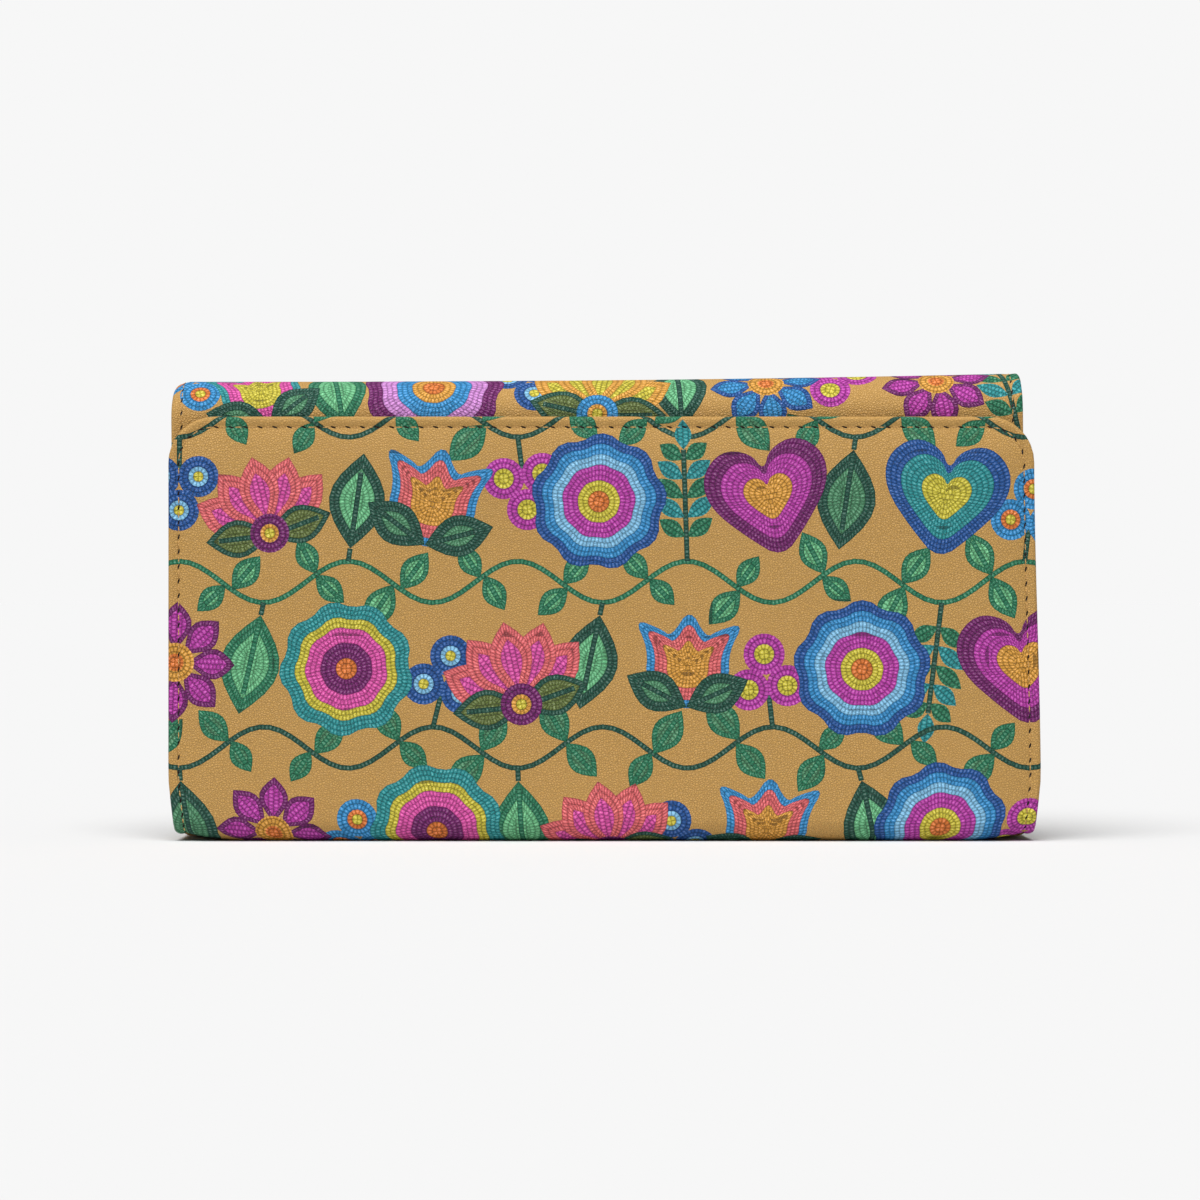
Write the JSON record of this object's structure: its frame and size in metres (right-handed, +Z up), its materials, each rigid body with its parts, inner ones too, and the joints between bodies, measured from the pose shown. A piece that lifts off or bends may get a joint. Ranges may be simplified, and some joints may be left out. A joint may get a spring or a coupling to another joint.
{
  "type": "wallet",
  "caption": "Long printed leather wallet, closed, with a snap flap, card slots, zipped coin pocket and bill compartment, standing on its lower fold.",
  "frame": {"origin": "middle of the footprint, on the surface that the wallet stands on", "axes": "+X along the wallet, to the right as the flap is seen; -Y out of the flap; +Z up"},
  "size_m": [0.19, 0.0286, 0.1021],
  "materials": {
    "printed_leather": "smooth fine grain, printed",
    "lining_leather": "fine grain, matt",
    "pocket_cloth": "twill",
    "zip_cloth": "herringbone tape",
    "board": "matt",
    "warm_metal": "polished",
    "steel": "satin",
    "magnet": "matt"
  },
  "bodies": {
    "shell": {"shell_leather": "printed_leather", "shell_lining": "lining_leather", "back_board": "board", "leaf_board": "board", "spine_board": "board", "leaf_card_slot_1": "lining_leather", "leaf_card_slot_2": "lining_leather", "leaf_card_slot_3": "lining_leather", "coin_pocket": "pocket_cloth", "bill_gusset_left": "pocket_cloth", "bill_gusset_right": "pocket_cloth", "zip_row_near": "warm_metal", "zip_row_far": "warm_metal", "zip_tape_near": "zip_cloth", "zip_tape_far": "zip_cloth", "zip_stop_left": "warm_metal", "zip_stop_right": "warm_metal", "snap_case": "warm_metal", "snap_magnet": "magnet", "snap_case_washer": "steel"},
    "flap": {"flap_leather": "printed_leather", "flap_lining": "lining_leather", "flap_board": "board", "flap_card_slot_1": "lining_leather", "flap_card_slot_2": "lining_leather", "snap_stud": "warm_metal", "snap_stud_washer": "steel"},
    "runner": {"zip_slider": "warm_metal", "zip_pull": "warm_metal"}
  },
  "joints": [
    {"name": "flap_hinge", "type": "hinge", "parent": "shell", "child": "flap", "pos_m": [0, -0.01318, 0.00107], "axis": [1, 0, 0], "range_deg": [0, 90]},
    {"name": "zip_slide", "type": "slide", "parent": "shell", "child": "runner", "axis": [1, 0, 0], "range_m": [-0.13, 0]}
  ]
}
